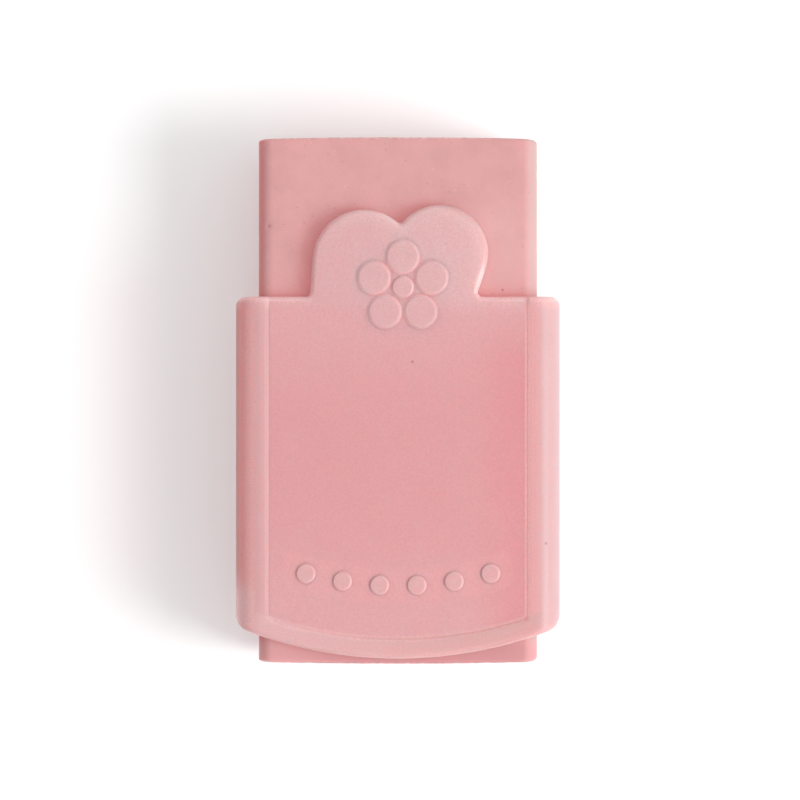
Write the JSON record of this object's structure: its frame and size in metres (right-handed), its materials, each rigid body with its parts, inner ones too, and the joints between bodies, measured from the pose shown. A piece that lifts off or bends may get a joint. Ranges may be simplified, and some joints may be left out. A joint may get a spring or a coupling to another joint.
{
  "type": "sleeved eraser",
  "caption": "Rectangular pink vinyl eraser block in a milky open-ended plastic sleeve with a bowed hem, a framed front and a lobed thumb tab.",
  "frame": {"origin": "on the surface that the sleeve's back lies on, under the middle of the whole object's length and width", "axes": "+Y along the length, towards the thumb tab; +Z through the thickness, from the sleeve's back to its framed front; +X to the right of the front when the tab points up"},
  "size_m": [0.0278, 0.0452, 0.0143],
  "materials": {
    "vinyl": "matte",
    "milky_plastic": "satin"
  },
  "bodies": {
    "sleeve": {"sleeve": "milky_plastic"},
    "block": {"eraser_block": "vinyl"}
  },
  "joints": [
    {"name": "block_slide", "type": "slide", "parent": "sleeve", "child": "block", "axis": [0, 1, 0], "range_m": [-0.0136, 0.016]}
  ]
}
